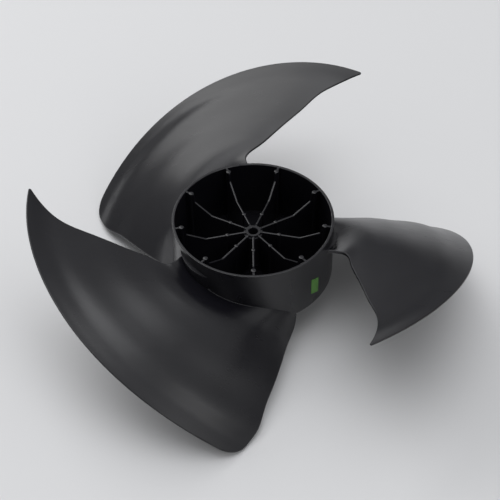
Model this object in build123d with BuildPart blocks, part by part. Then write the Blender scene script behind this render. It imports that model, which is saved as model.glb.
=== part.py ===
"""Axial fan impeller: a cup-shaped hub with three swept blades, moulded in one piece.

Millimetres. +Z points out of the hub's open side, and the origin is the centre of the shaft
bore's mouth, on top of the centre boss. The impeller stands on its three trailing corners.
"""

from build123d import *
from math import atan2, cos, degrees, hypot, radians, sin
import os

# --- driving dimensions -------------------------------------------------------------------
FAN_DIAMETER = 460.0
BLADE_COUNT = 3

HUB_DIAMETER = 169.0
HUB_WALL = 3.0
HUB_FLOOR = 3.0
HUB_DEPTH = 72.0  # rim to the outside of the floor
HUB_EDGE_RADIUS = 4.0  # outer corner between wall and floor
RIM_EDGE_RADIUS = 0.7

BOSS_DROP = 19.4  # the bore's mouth lies this far below the rim
BOSS_RING_RADIUS = 7.9
BOSS_BODY_RADIUS = 10.0
BOSS_RING_HEIGHT = 2.2
SHAFT_BORE_RADIUS = 5.0
SHAFT_BORE_LENGTH = 24.0
BORE_CHAMFER = 0.5
DRIVE_BORE_RADIUS = 4.0
DRIVE_FLAT_DISTANCE = 2.7  # from the axis to the flat of the D-shaped drive hole
NUT_RECESS_RADIUS = 9.0
NUT_RECESS_DEPTH = 8.0
NUT_COLLAR_WALL = 2.5

RIB_COUNT = 9
RIB_THICKNESS = 2.0
RIB_FIRST_ANGLE = -90.0
RIB_BOSS_DROP = 0.5  # rib top below the mouth, at the boss
RIB_KINK_RADIUS = 50.0
RIB_KINK_DROP = 2.4
RIB_STEP_RADIUS = 71.0
RIB_STEP_RISE = 8.4  # rib top above the mouth, at the foot of its step
RIB_STEP_RUN = 1.5
RIB_RIM_DROP = 0.4  # top of the step below the rim
RIM_PAD_RADIUS = 2.5
RIM_PAD_FROM_WALL = 6.2  # pad axis inward from the wall's inner face
INNER_PAD_RADIUS = 2.0
INNER_PAD_PLACE = 27.5
INNER_PAD_DROP = 0.7

# Blade stations from the hub wall to the tip circle: share of the span, then the angle and
# height of the leading edge, then the angle and height of the trailing edge. Angles are about
# the axis, from +X, and heights are measured from the rim.
BLADE_STATIONS = [
    (0.00, 91.2, -5.7, 181.5, -69.3),
    (0.08, 93.6, -7.1, 174.5, -80.5),
    (0.13, 93.7, -6.8, 169.9, -85.2),
    (0.22, 87.0, -3.2, 165.0, -88.3),
    (0.33, 80.2, 1.5, 160.9, -90.0),
    (0.45, 75.1, 7.0, 157.2, -92.6),
    (0.60, 70.4, 12.7, 153.3, -98.8),
    (0.75, 66.9, 19.4, 150.7, -105.4),
    (0.87, 62.6, 25.8, 147.2, -109.8),
    (1.00, 56.7, 36.7, 144.7, -112.9),
]
ROOT_SPAN = 0.28  # share of the span over which the root's own curve dies out
ROOT_CURVE = (2.30, -3.60, 2.30)  # terms in the chord share, its square and its cube
CHORD_STEPS = 16
CHORD_OVERRUN = 0.06  # the surfaces run past both edges, and the outline trims them
ROOT_THICKNESS = 3.6
TIP_THICKNESS = 2.4
ROOT_SINK = 1.5  # the blade reaches this far into the hub wall
TIP_FALL = 7.0  # the rear outer corner lies this far inside the tip circle
TIP_FALL_START = 98.0  # angle at which the outer edge leaves the tip circle
TRAIL_CORNER_RADIUS = 30.0
LEAD_TIP_RADIUS = 1.6
BLADE_EDGE_RADIUS = 0.9

SHOULDER_START = 88.5  # shoulder of the leading edge's root, along the hub wall
SHOULDER_END = 117.0
SHOULDER_WIDTH = 4.4
SHOULDER_START_DROP = 5.4
SHOULDER_END_DROP = 15.5

CLIP_BLADE = 2  # the balance clip sits on this blade, counted from the first
CLIP_PLACE = 0.70  # how far along the rounded rear corner the clip sits
CLIP_LENGTH = 8.0
CLIP_REACH = 6.0
CLIP_SHEET = 0.8
CLIP_CLEARANCE = 0.4

MARK_ANGLE = -41.7
MARK_DROP = 44.2  # centre of the balance mark below the rim
MARK_WIDTH = 11.3
MARK_HEIGHT = 20.8
MARK_SLANT = 4.4  # fall of its top and bottom edges across the width
MARK_THICKNESS = 0.2

# --- derived places -----------------------------------------------------------------------
TIP_RADIUS = FAN_DIAMETER / 2
HUB_RADIUS = HUB_DIAMETER / 2
INNER_RADIUS = HUB_RADIUS - HUB_WALL
SPAN = TIP_RADIUS - HUB_RADIUS
RIM_Z = BOSS_DROP
HUB_BOTTOM_Z = RIM_Z - HUB_DEPTH
FLOOR_Z = HUB_BOTTOM_Z + HUB_FLOOR
WALL_MIDDLE = HUB_RADIUS - HUB_WALL / 2


def on_circle(radius, angle, z=0.0):
    """The point at this radius and angle, in degrees, about the axis."""
    return Vector(radius * cos(radians(angle)), radius * sin(radians(angle)), z)


def station_value(column, share):
    """One column of the blade stations at any share of the span, on a smooth cubic."""
    rows = [(row[0], row[column]) for row in BLADE_STATIONS]
    last = len(rows) - 2
    i = max([0] + [k for k in range(last + 1) if rows[k][0] <= share])
    (x0, y0), (x1, y1) = rows[i], rows[i + 1]
    before = rows[i - 1] if i > 0 else (2 * x0 - x1, 2 * y0 - y1)
    after = rows[i + 2] if i < last else (2 * x1 - x0, 2 * y1 - y0)
    slope0 = (y1 - before[1]) / (x1 - before[0])
    slope1 = (after[1] - y0) / (after[0] - x0)
    width = x1 - x0
    t = (share - x0) / width
    return (
        (2 * t**3 - 3 * t**2 + 1) * y0
        + (t**3 - 2 * t**2 + t) * width * slope0
        + (3 * t**2 - 2 * t**3) * y1
        + (t**3 - t**2) * width * slope1
    )


def chord_curve(share, chord):
    """How far the blade has dropped at this share of its chord, from 0 to 1."""
    root = max(0.0, 1 - max(share, 0.0) / ROOT_SPAN) ** 2
    curved_root = sum(term * chord ** (k + 1) for k, term in enumerate(ROOT_CURVE))
    return root * curved_root + (1 - root) * chord * abs(chord)


def blade_point(share, chord, side=0.0):
    """A point of the blade's top (side 0) or underside (side 1)."""
    lead, lead_z, trail, trail_z = (station_value(k, share) for k in (1, 2, 3, 4))
    radius = HUB_RADIUS + share * SPAN
    drop = lead_z - trail_z
    step = 0.01
    fall = drop * (chord_curve(share, chord + step) - chord_curve(share, chord - step))
    run = radius * radians(trail - lead) * 2 * step
    thickness = ROOT_THICKNESS + (TIP_THICKNESS - ROOT_THICKNESS) * min(share, 1.0)
    upright = thickness * hypot(1, fall / run)
    z = RIM_Z + lead_z - drop * chord_curve(share, chord) - side * upright
    return on_circle(radius, lead + chord * (trail - lead), z)


def on_blade(plan, side=0.0):
    """The point of the blade's top or underside above or below a point of the plan."""
    share = (hypot(plan.X, plan.Y) - HUB_RADIUS) / SPAN
    lead, trail = station_value(1, share), station_value(3, share)
    chord = (degrees(atan2(plan.Y, plan.X)) - lead) / (trail - lead)
    return blade_point(share, chord, side)


def blade_surface(side):
    """The blade's top or underside, reaching a little past the blade's outline."""
    stations = [row[0] for row in BLADE_STATIONS]
    between = [(inner + outer) / 2 for inner, outer in zip(stations, stations[1:])]
    shares = [-(HUB_WALL + 1) / SPAN] + sorted(stations + between) + [1 + CHORD_OVERRUN / 2]
    width = 1 + 2 * CHORD_OVERRUN
    chords = [width * k / CHORD_STEPS - CHORD_OVERRUN for k in range(CHORD_STEPS + 1)]
    rows = [[blade_point(share, chord, side) for chord in chords] for share in shares]
    return Face.make_surface_from_array_of_points(rows, tol=0.02)


def from_axis(edge):
    """How far the middle of an edge lies from the fan's axis."""
    return hypot(edge.center().X, edge.center().Y)


def upright_edge(builder, point):
    """The upright edge of a prism that stands on this point of its plan."""
    return builder.edges().filter_by(Axis.Z).sort_by_distance(point)[0]


# --- blade: a plan outline between two surfaces -------------------------------------------
blade_top = blade_surface(0)
blade_under = blade_surface(1)
FIRST_LEAD, FIRST_TRAIL = BLADE_STATIONS[0][1], BLADE_STATIONS[0][3]
LAST_LEAD = BLADE_STATIONS[-1][1]
CORNER_SHARE = 1 - TIP_FALL / SPAN
rear_corner = on_circle(TIP_RADIUS - TIP_FALL, station_value(3, CORNER_SHARE))
front_tip = on_circle(TIP_RADIUS, LAST_LEAD)
SINK_RADIUS = HUB_RADIUS - ROOT_SINK

with BuildPart() as blade:
    with BuildSketch(Plane.XY.offset(HUB_BOTTOM_Z - SPAN)):
        with BuildLine():
            radii = [HUB_RADIUS + row[0] * SPAN for row in BLADE_STATIONS]
            lead_points = [on_circle(r, row[1]) for r, row in zip(radii, BLADE_STATIONS)]
            trail_points = [on_circle(r, row[3]) for r, row in zip(radii, BLADE_STATIONS[:-1])]
            lead_edge = Spline(*lead_points)
            trail_edge = Spline(*trail_points, rear_corner)
            tip_middle = on_circle(TIP_RADIUS, (LAST_LEAD + TIP_FALL_START) / 2)
            fall_start = on_circle(TIP_RADIUS, TIP_FALL_START)
            tip_edge = ThreePointArc(lead_edge @ 1, tip_middle, fall_start)
            TangentArc(fall_start, rear_corner, tangent=tip_edge % 1)
            root_lead = on_circle(SINK_RADIUS, FIRST_LEAD)
            root_middle = on_circle(SINK_RADIUS, (FIRST_LEAD + FIRST_TRAIL) / 2)
            root_trail = on_circle(SINK_RADIUS, FIRST_TRAIL)
            ThreePointArc(root_lead, root_middle, root_trail)
            Line(lead_edge @ 0, root_lead)
            Line(root_trail, trail_edge @ 0)
        make_face()
    extrude(amount=HUB_DEPTH + 2 * SPAN)
    fillet(upright_edge(blade, rear_corner), TRAIL_CORNER_RADIUS)
    fillet(upright_edge(blade, front_tip), LEAD_TIP_RADIUS)
    corner_arc = blade.edges().group_by(Axis.Z)[0].sort_by_distance(rear_corner)[0]
    split(bisect_by=blade_top, keep=Keep.BOTTOM)
    split(bisect_by=blade_under, keep=Keep.TOP)
    outer_edges = blade.edges().filter_by(lambda e: from_axis(e) > HUB_RADIUS + HUB_WALL)
    long_edges = outer_edges.filter_by(lambda e: e.length > 2 * LEAD_TIP_RADIUS)
    fillet(long_edges, BLADE_EDGE_RADIUS)

# --- shoulder: a small ledge along the hub wall at the leading edge's root ------------------
with BuildPart() as shoulder:
    with BuildSketch(Plane.XY.offset(HUB_BOTTOM_Z)):
        with BuildLine():
            shoulder_start = on_circle(HUB_RADIUS, SHOULDER_START)
            shoulder_end = on_circle(HUB_RADIUS, SHOULDER_END)
            shoulder_angle = (SHOULDER_START + SHOULDER_END) / 2
            crest = on_circle(HUB_RADIUS + SHOULDER_WIDTH, shoulder_angle)
            sunk_middle = on_circle(SINK_RADIUS, shoulder_angle)
            ThreePointArc(shoulder_start, crest, shoulder_end)
            sunk_start = on_circle(SINK_RADIUS, SHOULDER_START)
            sunk_end = on_circle(SINK_RADIUS, SHOULDER_END)
            ThreePointArc(sunk_start, sunk_middle, sunk_end)
            Line(shoulder_start, sunk_start)
            Line(shoulder_end, sunk_end)
        make_face()
    extrude(amount=HUB_DEPTH)
    split(bisect_by=blade_under, keep=Keep.TOP)
    high = shoulder_start + Vector(0, 0, RIM_Z - SHOULDER_START_DROP - shoulder_start.Z)
    low = shoulder_end + Vector(0, 0, RIM_Z - SHOULDER_END_DROP - shoulder_end.Z)
    slope = low - high
    top_normal = slope.cross(on_circle(1, shoulder_angle)).normalized()
    if top_normal.Z < 0:
        top_normal = -top_normal
    shoulder_top = Plane(origin=high, x_dir=slope.normalized(), z_dir=top_normal)
    split(bisect_by=shoulder_top, keep=Keep.BOTTOM)

# --- rib: a web from the boss to the wall, with its two ejector pads ------------------------
PAD_PLACE = INNER_RADIUS - RIM_PAD_FROM_WALL

with BuildPart() as rib:
    with BuildSketch(Plane.XZ):
        with BuildLine():
            Polyline(
                (BOSS_RING_RADIUS - 1, FLOOR_Z),
                (BOSS_RING_RADIUS - 1, -RIB_BOSS_DROP),
                (RIB_KINK_RADIUS, -RIB_KINK_DROP),
                (RIB_STEP_RADIUS, RIB_STEP_RISE),
                (RIB_STEP_RADIUS + RIB_STEP_RUN, RIM_Z - RIB_RIM_DROP),
                (WALL_MIDDLE, RIM_Z - RIB_RIM_DROP),
                (WALL_MIDDLE, FLOOR_Z),
                close=True,
            )
        make_face()
    extrude(amount=RIB_THICKNESS / 2, both=True)
    with BuildSketch(Plane.XY.offset(FLOOR_Z)):
        with Locations((PAD_PLACE, 0)):
            Circle(RIM_PAD_RADIUS)
    extrude(amount=RIM_Z - FLOOR_Z)
    with BuildSketch(Plane.XY.offset(FLOOR_Z)):
        with Locations((INNER_PAD_PLACE, 0)):
            Circle(INNER_PAD_RADIUS)
    extrude(amount=-INNER_PAD_DROP - FLOOR_Z)

# --- impeller: cup, boss, ribs and blades in one moulding -----------------------------------
with BuildPart() as impeller:
    with BuildSketch(Plane.XZ) as hub_section:
        with BuildLine():
            Polyline(
                (0, HUB_BOTTOM_Z),
                (HUB_RADIUS, HUB_BOTTOM_Z),
                (HUB_RADIUS, RIM_Z),
                (INNER_RADIUS, RIM_Z),
                (INNER_RADIUS, FLOOR_Z),
                (0, FLOOR_Z),
                close=True,
            )
        make_face()
        fillet(hub_section.vertices().group_by(Axis.Y)[0].sort_by(Axis.X)[-1], HUB_EDGE_RADIUS)
        fillet(hub_section.vertices().group_by(Axis.Y)[-1], RIM_EDGE_RADIUS)
    revolve(axis=Axis.Z)
    with BuildSketch(Plane.XY.offset(FLOOR_Z)):
        Circle(BOSS_BODY_RADIUS)
    extrude(amount=-BOSS_RING_HEIGHT - FLOOR_Z)
    with BuildSketch(Plane.XY.offset(HUB_BOTTOM_Z)):
        Circle(NUT_RECESS_RADIUS + NUT_COLLAR_WALL)
    extrude(amount=NUT_RECESS_DEPTH + NUT_COLLAR_WALL)
    with BuildSketch(Plane.XY.offset(-BOSS_RING_HEIGHT)):
        Circle(BOSS_RING_RADIUS)
    extrude(amount=BOSS_RING_HEIGHT)
    with PolarLocations(0, RIB_COUNT, start_angle=RIB_FIRST_ANGLE):
        add(rib.part)
    with PolarLocations(0, BLADE_COUNT):
        add(blade.part)
        add(shoulder.part)
    # Shaft seat, D-shaped drive hole and the nut's recess in the underside.
    with BuildSketch(Plane.XY):
        Circle(SHAFT_BORE_RADIUS)
    extrude(amount=-SHAFT_BORE_LENGTH, mode=Mode.SUBTRACT)
    with BuildSketch(Plane.XY.offset(HUB_BOTTOM_Z)):
        Circle(DRIVE_BORE_RADIUS)
        with Locations((0, DRIVE_FLAT_DISTANCE)):
            Rectangle(
                2 * DRIVE_BORE_RADIUS,
                DRIVE_BORE_RADIUS,
                align=(Align.CENTER, Align.MIN),
                mode=Mode.SUBTRACT,
            )
    extrude(amount=-SHAFT_BORE_LENGTH - HUB_BOTTOM_Z, mode=Mode.SUBTRACT)
    with BuildSketch(Plane.XY.offset(HUB_BOTTOM_Z)):
        Circle(NUT_RECESS_RADIUS)
    extrude(amount=NUT_RECESS_DEPTH, mode=Mode.SUBTRACT)
    Cone(
        SHAFT_BORE_RADIUS,
        SHAFT_BORE_RADIUS + BORE_CHAMFER,
        BORE_CHAMFER,
        align=(Align.CENTER, Align.CENTER, Align.MAX),
        mode=Mode.SUBTRACT,
    )


# --- balance clip: a spring channel pushed over the trailing edge near its corner -----------
clip_spot, clip_way = corner_arc @ CLIP_PLACE, corner_arc % CLIP_PLACE
inward = ((corner_arc @ 0 + corner_arc @ 1) / 2 - corner_arc @ 0.5).normalized()
edge_top, edge_under = on_blade(clip_spot), on_blade(clip_spot, side=1.0)
along_edge = on_blade(clip_spot + clip_way) - on_blade(clip_spot - clip_way)
into_blade = on_blade(clip_spot + inward * CLIP_REACH) - edge_top
into_blade = into_blade - along_edge * (into_blade.dot(along_edge) / along_edge.dot(along_edge))
clip_plane = Plane(
    origin=(edge_top + edge_under) / 2, x_dir=into_blade.normalized(), z_dir=along_edge.normalized()
)
blade_gap = abs((edge_top - edge_under).dot(clip_plane.y_dir)) + 2 * CLIP_CLEARANCE
clip_stand = abs((edge_top - edge_under).dot(clip_plane.x_dir)) / 2 + CLIP_CLEARANCE

with BuildPart() as balance_clip:
    with BuildSketch(clip_plane):
        with Locations((-clip_stand - CLIP_SHEET, 0)):
            RectangleRounded(
                CLIP_REACH + clip_stand + CLIP_SHEET,
                blade_gap + 2 * CLIP_SHEET,
                CLIP_SHEET,
                align=(Align.MIN, Align.CENTER),
            )
        with Locations((-clip_stand, 0)):
            Rectangle(
                CLIP_REACH + clip_stand,
                blade_gap,
                align=(Align.MIN, Align.CENTER),
                mode=Mode.SUBTRACT,
            )
    extrude(amount=CLIP_LENGTH / 2, both=True)

balance_clip.part = balance_clip.part.rotate(Axis.Z, 360 / BLADE_COUNT * CLIP_BLADE)

# --- green mark: a thin slanted patch on the hub wall ---------------------------------------
mark_plane = Plane(
    origin=on_circle(HUB_RADIUS, MARK_ANGLE, RIM_Z - MARK_DROP),
    x_dir=on_circle(1, MARK_ANGLE + 90),
    z_dir=on_circle(1, MARK_ANGLE),
)
half_width, half_height, half_fall = MARK_WIDTH / 2, MARK_HEIGHT / 2, MARK_SLANT / 2

with BuildPart() as green_mark:
    with BuildSketch(Plane.XY.offset(HUB_BOTTOM_Z)):
        Circle(HUB_RADIUS + MARK_THICKNESS)
        Circle(HUB_RADIUS, mode=Mode.SUBTRACT)
    extrude(amount=HUB_DEPTH)
    with BuildSketch(mark_plane):
        with BuildLine():
            Polyline(
                (-half_width, half_height + half_fall),
                (half_width, half_height - half_fall),
                (half_width, -half_height - half_fall),
                (-half_width, -half_height + half_fall),
                close=True,
            )
        make_face()
    extrude(amount=MARK_WIDTH / 2, both=True, mode=Mode.INTERSECT)

# --- files ----------------------------------------------------------------------------------
os.makedirs("parts", exist_ok=True)
impeller.part.label = "impeller"
balance_clip.part.label = "balance_clip"
green_mark.part.label = "green_mark"
export_step(impeller.part, "parts/impeller.step")
export_step(balance_clip.part, "parts/balance_clip.step")
export_step(green_mark.part, "parts/green_mark.step")
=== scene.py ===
"""Axial fan impeller: the finish, the moulded details and the studio."""

import math

import bmesh
import bpy
from bpy.props import FloatProperty, FloatVectorProperty, IntProperty, PointerProperty
from mathutils import Matrix, Quaternion, Vector


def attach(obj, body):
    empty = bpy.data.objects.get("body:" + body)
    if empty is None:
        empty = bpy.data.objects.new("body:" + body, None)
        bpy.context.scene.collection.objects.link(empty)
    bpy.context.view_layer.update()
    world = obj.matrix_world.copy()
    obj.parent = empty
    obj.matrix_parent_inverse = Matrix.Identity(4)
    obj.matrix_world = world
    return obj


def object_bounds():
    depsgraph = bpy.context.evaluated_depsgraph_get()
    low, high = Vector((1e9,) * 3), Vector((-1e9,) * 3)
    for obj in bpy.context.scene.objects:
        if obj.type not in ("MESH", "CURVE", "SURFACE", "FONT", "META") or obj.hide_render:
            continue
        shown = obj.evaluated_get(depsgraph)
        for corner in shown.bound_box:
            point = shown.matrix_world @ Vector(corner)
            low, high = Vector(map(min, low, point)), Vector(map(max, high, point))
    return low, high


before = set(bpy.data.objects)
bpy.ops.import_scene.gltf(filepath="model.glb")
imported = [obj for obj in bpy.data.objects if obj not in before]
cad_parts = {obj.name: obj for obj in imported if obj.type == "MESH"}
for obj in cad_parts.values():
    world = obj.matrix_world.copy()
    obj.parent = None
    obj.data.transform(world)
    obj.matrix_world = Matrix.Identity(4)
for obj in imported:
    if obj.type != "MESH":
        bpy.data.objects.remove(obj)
CAD_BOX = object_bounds()

bl_info = {
    "name": "Axial Fan Impeller",
    "version": (1, 0, 0),
    "blender": (4, 5, 0),
    "location": "View3D > Sidebar > Impeller",
    "description": "Moulded hub, ribs, blades, balance clip and studio of an axial fan impeller",
    "category": "Object",
}

MM = 0.001

LAMP_DISTANCE = 3.6  # metres from the origin to each lamp
KEY_SIZE = (2.3, 2.8)
FILL_SIZE = (1.6, 1.3)
FLOOR_REACH = 12.0  # half the side of the floor
CAMERA_PLACE = (0.0, -0.97363, 0.97567)
CAMERA_AIM = (-0.0038, 0.06401, -0.095)
CAMERA_ROLL = -0.767  # degrees
SKY_COLOUR = (0.97, 0.98, 1.0, 1)
# Directions in which the sky is dimmer or brighter: degrees from +X, the cosines between which
# the change sets in, and the factor that it reaches.
SKY_LOBES = (
    (30, 0.60, 0.95, 0.35),
    (95, 0.80, 0.98, 0.50),
    (-90, 0.45, 0.95, 0.35),
    (-20, 0.30, 0.90, 1.60),
)

# Blade stations from the hub wall to the tip circle: share of the span, then the angle in
# degrees and the height in millimetres below the rim of the leading and trailing edges.
BLADE_STATIONS = [
    (0.00, 91.2, -5.7, 181.5, -69.3),
    (0.08, 93.6, -7.1, 174.5, -80.5),
    (0.13, 93.7, -6.8, 169.9, -85.2),
    (0.22, 87.0, -3.2, 165.0, -88.3),
    (0.33, 80.2, 1.5, 160.9, -90.0),
    (0.45, 75.1, 7.0, 157.2, -92.6),
    (0.60, 70.4, 12.7, 153.3, -98.8),
    (0.75, 66.9, 19.4, 150.7, -105.4),
    (0.87, 62.6, 25.8, 147.2, -109.8),
    (1.00, 56.7, 36.7, 144.7, -112.9),
]
ROOT_SPAN = 0.28  # share of the span over which the root's own curve dies out
ROOT_CURVE = (2.30, -3.60, 2.30)  # terms in the chord share, its square and its cube

SINK = 0.03 * MM  # how far a crown or dome starts below the face that it rounds
EASE = 1.2 * MM  # how far from a corner of a rib's top the easing starts
RUN_STEPS = 8
BEND_STEPS = 6
ROOT_ROUNDS = ((0, 0.02, 0.80), (1, 0.02, 0.60))  # side, first and last share of the chord


# --- properties -----------------------------------------------------------------------------
def length(name, description, millimetres):
    """A length property, given in millimetres and held in metres."""
    return FloatProperty(
        name=name,
        description=description,
        default=millimetres * MM,
        min=0.0,
        precision=4,
        unit="LENGTH",
    )


def colour(name, description, value):
    """A colour property."""
    return FloatVectorProperty(
        name=name, description=description, default=value, size=4, min=0.0, max=1.0, subtype="COLOR"
    )


class ImpellerSizes(bpy.types.PropertyGroup):
    """Sizes of the moulding."""

    tip_radius: length("Tip Radius", "Radius of the circle that the blade tips run on", 230.0)
    hub_radius: length("Hub Radius", "Outside radius of the hub wall", 84.5)
    hub_floor: length("Hub Floor", "Thickness of the hub's floor", 3.0)
    hub_depth: length("Hub Depth", "Height from the floor's underside to the rim", 72.0)
    rim_height: length("Rim Height", "Height of the rim above the bore's mouth", 19.4)
    root_thickness: length("Root Thickness", "Blade thickness at the hub", 3.6)
    tip_thickness: length("Tip Thickness", "Blade thickness at the tip circle", 2.4)
    root_fillet: length("Root Fillet", "Reach of the round between a blade and the hub", 0.8)
    rib_thickness: length("Rib Thickness", "Thickness of the hub's ribs", 2.0)
    rib_crown: length("Rib Crown", "How far the rounded top of a rib rises", 0.45)
    boss_radius: length("Boss Radius", "Radius of the centre boss", 10.0)
    kink_radius: length("Kink Radius", "Radius at which a rib's top starts to rise", 50.0)
    kink_drop: length("Kink Drop", "Depth of the kink below the bore's mouth", 2.4)
    step_radius: length("Step Radius", "Radius of the step near a rib's outer end", 71.0)
    step_rise: length("Step Rise", "Height of the step's foot above the bore's mouth", 8.4)
    step_run: length("Step Run", "How far the step leans outwards", 1.5)
    rim_pad_place: length("Rim Pad Place", "Radius on which the pads at the rim stand", 75.3)
    rim_pad_radius: length("Rim Pad Radius", "Radius of the pads at the rim", 2.5)
    inner_pad_place: length("Inner Pad Place", "Radius on which the inner pads stand", 27.5)
    inner_pad_radius: length("Inner Pad Radius", "Radius of the inner pads", 2.0)
    mark_place: length("Ejector Mark Place", "Radius on which the ejector marks lie", 50.0)
    mark_radius: length("Ejector Mark Radius", "Radius of an ejector mark", 4.0)
    blades: IntProperty(name="Blades", description="Number of blades", default=3, min=1)
    ribs: IntProperty(name="Ribs", description="Number of ribs in the hub", default=9, min=1)


class ImpellerFinish(bpy.types.PropertyGroup):
    """Colours of the moulding, the clip and the mark."""

    plastic: colour("Plastic", "Colour of the moulded plastic", (0.0045, 0.0043, 0.0064, 1))
    dust: colour("Dust", "Colour of the thin dust on the plastic", (0.115, 0.115, 0.135, 1))
    steel: colour("Clip Steel", "Colour of the blackened spring clip", (0.02, 0.02, 0.021, 1))
    mark: colour("Mark", "Colour of the green mark", (0.085, 0.24, 0.04, 1))


class StudioSettings(bpy.types.PropertyGroup):
    """Floor, lamps and camera."""

    floor: colour("Floor", "Colour of the pale floor", (0.66, 0.66, 0.665, 1))
    sky_top: FloatProperty(
        name="Sky Top", description="Strength of the light overhead", default=3.0
    )
    sky_middle: FloatProperty(
        name="Sky Middle", description="Strength of the light half-way up", default=0.48
    )
    sky_edge: FloatProperty(
        name="Sky Edge", description="Strength of the light around the horizon", default=0.15
    )
    key: FloatProperty(
        name="Key Lamp", description="Power of the window-like lamp", default=47.0, unit="POWER"
    )
    key_turn: FloatProperty(
        name="Key Turn",
        description="Direction of the lamp, counted from +X",
        default=math.radians(128),
        subtype="ANGLE",
    )
    key_rise: FloatProperty(
        name="Key Rise",
        description="Height of the lamp above the horizon",
        default=math.radians(42),
        subtype="ANGLE",
    )
    fill: FloatProperty(
        name="Fill Lamp", description="Power of the small lamp in front", default=8.0, unit="POWER"
    )
    fill_turn: FloatProperty(
        name="Fill Turn",
        description="Direction of the small lamp, counted from +X",
        default=math.radians(318),
        subtype="ANGLE",
    )
    fill_rise: FloatProperty(
        name="Fill Rise",
        description="Height of the small lamp above the horizon",
        default=math.radians(35),
        subtype="ANGLE",
    )
    lens: FloatProperty(
        name="Lens", description="Focal length of the camera, in millimetres", default=94.57
    )


# --- blade surface --------------------------------------------------------------------------
def station_value(column, share):
    """One column of the blade stations at any share of the span, on a smooth cubic."""
    rows = [(row[0], row[column]) for row in BLADE_STATIONS]
    last = len(rows) - 2
    i = max([0] + [k for k in range(last + 1) if rows[k][0] <= share])
    (x0, y0), (x1, y1) = rows[i], rows[i + 1]
    before = rows[i - 1] if i > 0 else (2 * x0 - x1, 2 * y0 - y1)
    after = rows[i + 2] if i < last else (2 * x1 - x0, 2 * y1 - y0)
    slope0 = (y1 - before[1]) / (x1 - before[0])
    slope1 = (after[1] - y0) / (after[0] - x0)
    width = x1 - x0
    t = (share - x0) / width
    return (
        (2 * t**3 - 3 * t**2 + 1) * y0
        + (t**3 - 2 * t**2 + t) * width * slope0
        + (3 * t**2 - 2 * t**3) * y1
        + (t**3 - t**2) * width * slope1
    )


def chord_curve(share, chord):
    """How far the blade has dropped at this share of its chord, from 0 to 1."""
    root = max(0.0, 1 - max(share, 0.0) / ROOT_SPAN) ** 2
    curved_root = sum(term * chord ** (k + 1) for k, term in enumerate(ROOT_CURVE))
    return root * curved_root + (1 - root) * chord * abs(chord)


def blade_height(sizes, radius, chord, side=0):
    """Angle in radians and height of the blade's top (side 0) or underside (side 1)."""
    span = sizes.tip_radius - sizes.hub_radius
    share = (radius - sizes.hub_radius) / span
    lead, lead_z, trail, trail_z = (station_value(k, share) for k in (1, 2, 3, 4))
    drop = (lead_z - trail_z) * MM
    step = 0.01
    fall = drop * (chord_curve(share, chord + step) - chord_curve(share, chord - step))
    run = radius * math.radians(trail - lead) * 2 * step
    thickness = sizes.root_thickness + (sizes.tip_thickness - sizes.root_thickness) * share
    upright = thickness * math.hypot(1, fall / run)
    height = sizes.rim_height + lead_z * MM - drop * chord_curve(share, chord) - side * upright
    return math.radians(lead + chord * (trail - lead)), height


# --- pieces ---------------------------------------------------------------------------------
def around(bm, count):
    """Repeats what the mesh holds around the fan's axis."""
    turn = math.tau * (count - 1) / count
    bmesh.ops.spin(
        bm,
        geom=bm.verts[:] + bm.edges[:] + bm.faces[:],
        cent=(0, 0, 0),
        axis=(0, 0, 1),
        angle=turn,
        steps=count - 1,
        use_duplicate=True,
    )


def moulded_piece(name, bm, outwards=True):
    """Finishes a mesh as a piece of the moulding."""
    if outwards:
        bmesh.ops.recalc_face_normals(bm, faces=bm.faces)
    mesh = bpy.data.meshes.new(name)
    bm.to_mesh(mesh)
    bm.free()
    mesh.shade_smooth()
    mesh.materials.append(bpy.data.materials["moulded_black_plastic"])
    piece = bpy.data.objects.new(name, mesh)
    bpy.context.scene.collection.objects.link(piece)
    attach(piece, "root")
    return piece


# --- materials ------------------------------------------------------------------------------
def new_material(name):
    """An empty node material with its shader and its output."""
    material = bpy.data.materials.new(name)
    material.use_nodes = True
    nodes = material.node_tree.nodes
    nodes.clear()
    output = nodes.new("ShaderNodeOutputMaterial")
    shader = nodes.new("ShaderNodeBsdfPrincipled")
    material.node_tree.links.new(shader.outputs["BSDF"], output.inputs["Surface"])
    return material, nodes, material.node_tree.links, shader


def noise_node(nodes, links, scale, detail=4.0, roughness=0.55, distortion=0.0):
    """Noise on the object's own coordinates."""
    place = nodes.new("ShaderNodeTexCoord")
    node = nodes.new("ShaderNodeTexNoise")
    node.inputs["Scale"].default_value = scale
    node.inputs["Detail"].default_value = detail
    node.inputs["Roughness"].default_value = roughness
    node.inputs["Distortion"].default_value = distortion
    links.new(place.outputs["Object"], node.inputs["Vector"])
    return node


def ramp_node(nodes, links, source, low, high, from_value, to_value):
    """Maps a value between two limits to a new range."""
    node = nodes.new("ShaderNodeMapRange")
    node.inputs["From Min"].default_value = low
    node.inputs["From Max"].default_value = high
    node.inputs["To Min"].default_value = from_value
    node.inputs["To Max"].default_value = to_value
    links.new(source, node.inputs["Value"])
    return node


def stretched_noise(nodes, links, scale, stretch, detail=3.0):
    """Noise drawn out along one of the object's directions."""
    place = nodes.new("ShaderNodeTexCoord")
    mapping = nodes.new("ShaderNodeMapping")
    mapping.inputs["Scale"].default_value = stretch
    mapping.inputs["Rotation"].default_value = (0.3, 0.2, 0.9)
    node = nodes.new("ShaderNodeTexNoise")
    node.inputs["Scale"].default_value = scale
    node.inputs["Detail"].default_value = detail
    links.new(place.outputs["Object"], mapping.inputs["Vector"])
    links.new(mapping.outputs["Vector"], node.inputs["Vector"])
    return node


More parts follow.
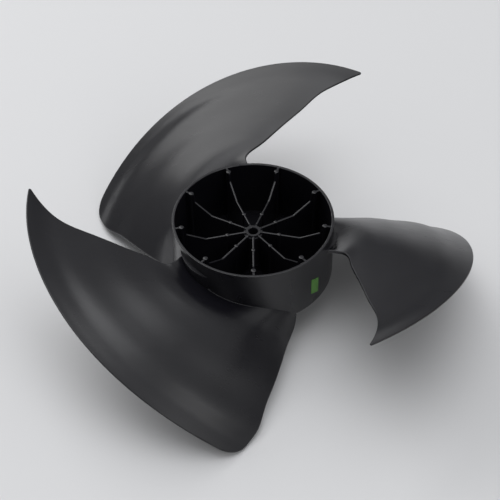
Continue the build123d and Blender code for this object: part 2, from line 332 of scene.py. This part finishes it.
def plastic_material(finish):
    """Satin black moulded plastic with a fine grain, handling smudges and a thin dust."""
    material, nodes, links, shader = new_material("moulded_black_plastic")
    cloud = noise_node(nodes, links, 11.0, detail=7.0, roughness=0.62)
    speck = noise_node(nodes, links, 420.0, detail=3.0)
    settled = ramp_node(nodes, links, cloud.outputs["Fac"], 0.45, 0.78, 0.0, 0.03)
    specks = ramp_node(nodes, links, speck.outputs["Fac"], 0.66, 0.74, 0.0, 0.06)
    dusty = nodes.new("ShaderNodeMath")
    dusty.operation = "ADD"
    dusty.use_clamp = True
    links.new(settled.outputs["Result"], dusty.inputs[0])
    links.new(specks.outputs["Result"], dusty.inputs[1])
    mix = nodes.new("ShaderNodeMix")
    mix.data_type = "RGBA"
    mix.inputs["A"].default_value = finish.plastic
    mix.inputs["B"].default_value = finish.dust
    links.new(dusty.outputs["Value"], mix.inputs["Factor"])
    links.new(mix.outputs["Result"], shader.inputs["Base Color"])

    scuff = stretched_noise(nodes, links, 26.0, (1.0, 9.0, 1.0), detail=5.0)
    smudge = nodes.new("ShaderNodeMath")
    smudge.operation = "MULTIPLY"
    links.new(cloud.outputs["Fac"], smudge.inputs[0])
    links.new(scuff.outputs["Fac"], smudge.inputs[1])
    rough = ramp_node(nodes, links, smudge.outputs["Value"], 0.12, 0.42, 0.27, 0.32)
    links.new(rough.outputs["Result"], shader.inputs["Roughness"])

    grain = noise_node(nodes, links, 1500.0, detail=2.0)
    bump = nodes.new("ShaderNodeBump")
    bump.inputs["Strength"].default_value = 0.10
    bump.inputs["Distance"].default_value = 0.0001
    links.new(grain.outputs["Fac"], bump.inputs["Height"])
    flow = noise_node(nodes, links, 34.0, detail=2.0, distortion=0.6)
    ripple = nodes.new("ShaderNodeBump")
    ripple.inputs["Strength"].default_value = 0.05
    ripple.inputs["Distance"].default_value = 0.0006
    links.new(flow.outputs["Fac"], ripple.inputs["Height"])
    links.new(bump.outputs["Normal"], ripple.inputs["Normal"])
    links.new(ripple.outputs["Normal"], shader.inputs["Normal"])
    return material


def steel_material(finish):
    """Blackened spring steel."""
    material, nodes, links, shader = new_material("blackened_spring_steel")
    cloud = noise_node(nodes, links, 220.0)
    mix = nodes.new("ShaderNodeMix")
    mix.data_type = "RGBA"
    mix.inputs["A"].default_value = finish.steel
    mix.inputs["B"].default_value = (0.05, 0.048, 0.045, 1)
    links.new(cloud.outputs["Fac"], mix.inputs["Factor"])
    links.new(mix.outputs["Result"], shader.inputs["Base Color"])
    rough = ramp_node(nodes, links, cloud.outputs["Fac"], 0.3, 0.7, 0.35, 0.55)
    links.new(rough.outputs["Result"], shader.inputs["Roughness"])
    shader.inputs["Metallic"].default_value = 0.6
    return material


def mark_material(finish):
    """Flat green marking tape."""
    material, nodes, links, shader = new_material("green_marking_tape")
    cloud = noise_node(nodes, links, 160.0)
    mix = nodes.new("ShaderNodeMix")
    mix.data_type = "RGBA"
    mix.inputs["A"].default_value = finish.mark
    mix.inputs["B"].default_value = [channel * 0.8 for channel in finish.mark[:3]] + [1]
    links.new(cloud.outputs["Fac"], mix.inputs["Factor"])
    links.new(mix.outputs["Result"], shader.inputs["Base Color"])
    shader.inputs["Roughness"].default_value = 0.6
    return material


def floor_material(settings):
    """Plain pale floor."""
    material, nodes, links, shader = new_material("pale_floor")
    shader.inputs["Base Color"].default_value = settings.floor
    shader.inputs["Roughness"].default_value = 0.6
    return material


def use_material(node_name, material):
    """Gives a carried-over node its material."""
    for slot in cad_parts[node_name].material_slots:
        slot.material = material


class IMPELLER_OT_moulding(bpy.types.Operator):
    """Finish the moulded plastic"""

    bl_idname = "impeller.moulding"
    bl_label = "Moulding"

    def execute(self, context):
        finish = context.scene.impeller_finish
        use_material("impeller", plastic_material(finish))
        use_material("balance_clip", steel_material(finish))
        use_material("green_mark", mark_material(finish))
        return {"FINISHED"}


class IMPELLER_OT_root_rounds(bpy.types.Operator):
    """Round the corner between each blade and the hub wall, on top and below"""

    bl_idname = "impeller.root_rounds"
    bl_label = "Root Rounds"

    def execute(self, context):
        sizes = context.scene.impeller_sizes
        bm = bmesh.new()
        for side, first, last in ROOT_ROUNDS:
            made = bmesh.ops.create_grid(bm, x_segments=90, y_segments=8, size=1.0)
            for vert in made["verts"]:
                along, across = (vert.co.x + 1) / 2, (vert.co.y + 1) / 2
                chord = first + along * (last - first)
                vert.co = self.round_point(sizes, chord, across, side, math.sin(math.pi * along))
        around(bm, sizes.blades)
        moulded_piece("root_rounds", bm, outwards=False)
        return {"FINISHED"}

    def round_point(self, sizes, chord, across, side, swell):
        """A point of the round: from the wall (across 0) to the blade (across 1)."""
        reach = sizes.root_fillet * swell + 0.05 * MM
        way = 1 if side == 0 else -1
        angle, foot = blade_height(sizes, sizes.hub_radius, chord, side)
        outer_angle, outer = blade_height(sizes, sizes.hub_radius + reach, chord, side)
        wall = Vector((sizes.hub_radius - 0.04 * MM, foot + way * reach))
        corner = Vector((sizes.hub_radius, foot))
        blade = Vector((sizes.hub_radius + reach, outer - way * 0.04 * MM))
        point = wall * (1 - across) ** 2 + corner * 2 * across * (1 - across) + blade * across**2
        turn = angle + (outer_angle - angle) * across
        return Vector((point.x * math.cos(turn), point.x * math.sin(turn), point.y))


class IMPELLER_OT_rib_crowns(bpy.types.Operator):
    """Round the tops of the hub's ribs and of the pads on them"""

    bl_idname = "impeller.rib_crowns"
    bl_label = "Rib Crowns"

    def execute(self, context):
        sizes = context.scene.impeller_sizes
        rim = sizes.rim_height - 0.4 * MM
        route = [
            Vector((sizes.boss_radius + 0.5 * MM, -0.5 * MM)),
            Vector((sizes.kink_radius, -sizes.kink_drop)),
            Vector((sizes.step_radius, sizes.step_rise)),
            Vector((sizes.step_radius + sizes.step_run, rim)),
            Vector((sizes.rim_pad_place, rim)),
        ]
        stops = self.eased(route)
        bm = bmesh.new()
        bmesh.ops.create_grid(bm, x_segments=len(stops) - 1, y_segments=8, size=1.0)
        for vert in bm.verts:
            stop = round((vert.co.x + 1) / 2 * (len(stops) - 1))
            before, after = stops[max(stop - 1, 0)], stops[min(stop + 1, len(stops) - 1)]
            way = (after - before).normalized()
            up = Vector((-way.y, way.x))
            width = vert.co.y
            rise = sizes.rib_crown * math.sqrt(max(0.0, 1 - width**2)) - SINK
            place = stops[stop] + up * rise
            vert.co = Vector((place.x, width * sizes.rib_thickness / 2, place.y))
        for radius, place, top in (
            (sizes.rim_pad_radius, sizes.rim_pad_place, sizes.rim_height),
            (sizes.inner_pad_radius, sizes.inner_pad_place, -0.7 * MM),
        ):
            self.add_dome(bm, radius, place, top, sizes.rib_crown)
        bmesh.ops.rotate(
            bm, verts=bm.verts, cent=(0, 0, 0), matrix=Matrix.Rotation(-math.pi / 2, 3, "Z")
        )
        around(bm, sizes.ribs)
        moulded_piece("rib_crowns", bm, outwards=False)
        return {"FINISHED"}

    def eased(self, route):
        """The route with its corners eased over a millimetre or so, and its runs divided."""
        stops = [route[0]]
        for before, corner, after in zip(route, route[1:], route[2:]):
            start = corner + (before - corner).normalized() * EASE
            end = corner + (after - corner).normalized() * EASE
            run = stops[-1]
            stops += [run.lerp(start, k / RUN_STEPS) for k in range(1, RUN_STEPS + 1)]
            for k in range(1, BEND_STEPS + 1):
                t = k / BEND_STEPS
                stops.append(start * (1 - t) ** 2 + corner * 2 * t * (1 - t) + end * t**2)
        stops.append(route[-1])
        return stops

    def add_dome(self, bm, radius, place, top, crown):
        """A low dome on top of a pad."""
        made = bmesh.ops.create_uvsphere(bm, u_segments=28, v_segments=14, radius=radius)
        verts = made["verts"]
        bmesh.ops.scale(bm, verts=verts, vec=(1, 1, crown / radius))
        faces = list({face for vert in verts for face in vert.link_faces})
        edges = list({edge for vert in verts for edge in vert.link_edges})
        bmesh.ops.translate(bm, verts=verts, vec=(place, 0, top - SINK))
        bmesh.ops.bisect_plane(
            bm,
            geom=verts + edges + faces,
            plane_co=(0, 0, top - SINK),
            plane_no=(0, 0, 1),
            clear_inner=True,
        )


class IMPELLER_OT_ejector_marks(bpy.types.Operator):
    """Leave the round marks of the ejector pins on the hub's floor"""

    bl_idname = "impeller.ejector_marks"
    bl_label = "Ejector Marks"

    def execute(self, context):
        sizes = context.scene.impeller_sizes
        floor = sizes.rim_height - sizes.hub_depth + sizes.hub_floor
        bm = bmesh.new()
        bmesh.ops.create_circle(bm, cap_ends=True, segments=48, radius=sizes.mark_radius)
        bmesh.ops.translate(bm, verts=bm.verts, vec=(0, 0, floor - 0.05 * MM))
        raised = bmesh.ops.extrude_face_region(bm, geom=bm.faces[:])
        top = [item for item in raised["geom"] if isinstance(item, bmesh.types.BMVert)]
        bmesh.ops.translate(bm, verts=top, vec=(0, 0, 0.25 * MM))
        face = [item for item in raised["geom"] if isinstance(item, bmesh.types.BMFace)]
        bmesh.ops.inset_region(bm, faces=face, thickness=0.25 * MM, depth=-0.12 * MM)
        bmesh.ops.translate(bm, verts=bm.verts, vec=(sizes.mark_place, 0, 0))
        half_way = math.radians(-90 + 180 / sizes.ribs)
        bmesh.ops.rotate(
            bm, verts=bm.verts, cent=(0, 0, 0), matrix=Matrix.Rotation(half_way, 3, "Z")
        )
        around(bm, sizes.ribs)
        moulded_piece("ejector_marks", bm)
        return {"FINISHED"}


class IMPELLER_OT_stage(bpy.types.Operator):
    """Set the floor, the lamps and the camera"""

    bl_idname = "impeller.stage"
    bl_label = "Stage"

    def execute(self, context):
        settings = context.scene.impeller_studio
        self.add_floor(context, settings)
        self.add_sky(context, settings)
        self.add_lamp(
            context, "key", settings.key, KEY_SIZE, settings.key_turn, settings.key_rise
        )
        self.add_lamp(
            context, "fill", settings.fill, FILL_SIZE, settings.fill_turn, settings.fill_rise
        )
        self.add_camera(context, settings)
        context.scene.view_settings.view_transform = "Standard"
        return {"FINISHED"}

    def add_floor(self, context, settings):
        """A plain floor at the lowest point of the fan."""
        bm = bmesh.new()
        bmesh.ops.create_grid(bm, x_segments=1, y_segments=1, size=FLOOR_REACH)
        bmesh.ops.translate(bm, verts=bm.verts, vec=(0, 0, CAD_BOX[0][2]))
        mesh = bpy.data.meshes.new("floor")
        bm.to_mesh(mesh)
        bm.free()
        mesh.materials.append(floor_material(settings))
        floor = bpy.data.objects.new("floor", mesh)
        context.scene.collection.objects.link(floor)

    def add_sky(self, context, settings):
        """A soft sky, brightest overhead, and dimmer towards some sides than others."""
        world = bpy.data.worlds.new("studio")
        world.use_nodes = True
        nodes, links = world.node_tree.nodes, world.node_tree.links
        way = nodes.new("ShaderNodeTexCoord")
        parts = nodes.new("ShaderNodeSeparateXYZ")
        links.new(way.outputs["Generated"], parts.inputs["Vector"])
        rise = parts.outputs["Z"]
        low = ramp_node(nodes, links, rise, 0.0, 0.45, settings.sky_edge, settings.sky_middle)
        overhead = settings.sky_top - settings.sky_middle
        high = ramp_node(nodes, links, rise, 0.86, 0.99, 0.0, overhead)
        for level in (low, high):
            level.interpolation_type = "SMOOTHSTEP"
        strength = self.joined(nodes, links, "ADD", low.outputs["Result"], high.outputs["Result"])
        for turn, start, end, factor in SKY_LOBES:
            facing = nodes.new("ShaderNodeVectorMath")
            facing.operation = "DOT_PRODUCT"
            side = math.radians(turn)
            facing.inputs[1].default_value = (math.cos(side), math.sin(side), 0)
            links.new(way.outputs["Generated"], facing.inputs[0])
            lobe = ramp_node(nodes, links, facing.outputs["Value"], start, end, 1.0, factor)
            strength = self.joined(nodes, links, "MULTIPLY", strength, lobe.outputs["Result"])
        links.new(strength, nodes["Background"].inputs["Strength"])
        nodes["Background"].inputs["Color"].default_value = SKY_COLOUR
        context.scene.world = world

    def add_camera(self, context, settings):
        """The camera that looks down on the open side of the hub."""
        camera = bpy.data.cameras.new("camera")
        camera.lens = settings.lens
        camera.sensor_width = 36.0
        viewer = bpy.data.objects.new("camera", camera)
        viewer.location = CAMERA_PLACE
        viewer.rotation_mode = "QUATERNION"
        look = (Vector(CAMERA_AIM) - viewer.location).to_track_quat("-Z", "Y")
        roll = Quaternion((0, 0, 1), math.radians(CAMERA_ROLL))
        viewer.rotation_quaternion = look @ roll
        context.scene.collection.objects.link(viewer)
        context.scene.camera = viewer

    def add_lamp(self, context, name, power, size, turn, rise):
        """A soft rectangular lamp that looks at the fan."""
        lamp = bpy.data.lights.new(name, "AREA")
        lamp.energy = power
        lamp.shape = "RECTANGLE"
        lamp.size, lamp.size_y = size
        stand = bpy.data.objects.new(name, lamp)
        level = math.cos(rise)
        stand.location = LAMP_DISTANCE * Vector(
            (level * math.cos(turn), level * math.sin(turn), math.sin(rise))
        )
        stand.rotation_mode = "QUATERNION"
        stand.rotation_quaternion = (-stand.location).to_track_quat("-Z", "Y")
        context.scene.collection.objects.link(stand)

    def joined(self, nodes, links, operation, first, second):
        """Two values put together by a sum or a product."""
        node = nodes.new("ShaderNodeMath")
        node.operation = operation
        links.new(first, node.inputs[0])
        links.new(second, node.inputs[1])
        return node.outputs["Value"]


class IMPELLER_PT_panel(bpy.types.Panel):
    """The impeller's sizes, finish and studio"""

    bl_idname = "IMPELLER_PT_panel"
    bl_label = "Axial Fan Impeller"
    bl_space_type = "VIEW_3D"
    bl_region_type = "UI"
    bl_category = "Impeller"

    def draw(self, context):
        for group in ("impeller_sizes", "impeller_finish", "impeller_studio"):
            box = self.layout.box()
            values = getattr(context.scene, group)
            for name in values.__annotations__:
                box.prop(values, name)
        for operator in STEPS:
            self.layout.operator(operator.bl_idname)


STEPS = (
    IMPELLER_OT_moulding,
    IMPELLER_OT_root_rounds,
    IMPELLER_OT_rib_crowns,
    IMPELLER_OT_ejector_marks,
    IMPELLER_OT_stage,
)
CLASSES = (ImpellerSizes, ImpellerFinish, StudioSettings, IMPELLER_PT_panel) + STEPS


def register():
    for cls in CLASSES:
        bpy.utils.register_class(cls)
    bpy.types.Scene.impeller_sizes = PointerProperty(type=ImpellerSizes)
    bpy.types.Scene.impeller_finish = PointerProperty(type=ImpellerFinish)
    bpy.types.Scene.impeller_studio = PointerProperty(type=StudioSettings)


def unregister():
    del bpy.types.Scene.impeller_studio
    del bpy.types.Scene.impeller_finish
    del bpy.types.Scene.impeller_sizes
    for cls in reversed(CLASSES):
        bpy.utils.unregister_class(cls)


def main():
    register()
    bpy.ops.impeller.moulding()
    bpy.ops.impeller.root_rounds()
    bpy.ops.impeller.rib_crowns()
    bpy.ops.impeller.ejector_marks()
    bpy.ops.impeller.stage()


if __name__ == "__main__":
    main()
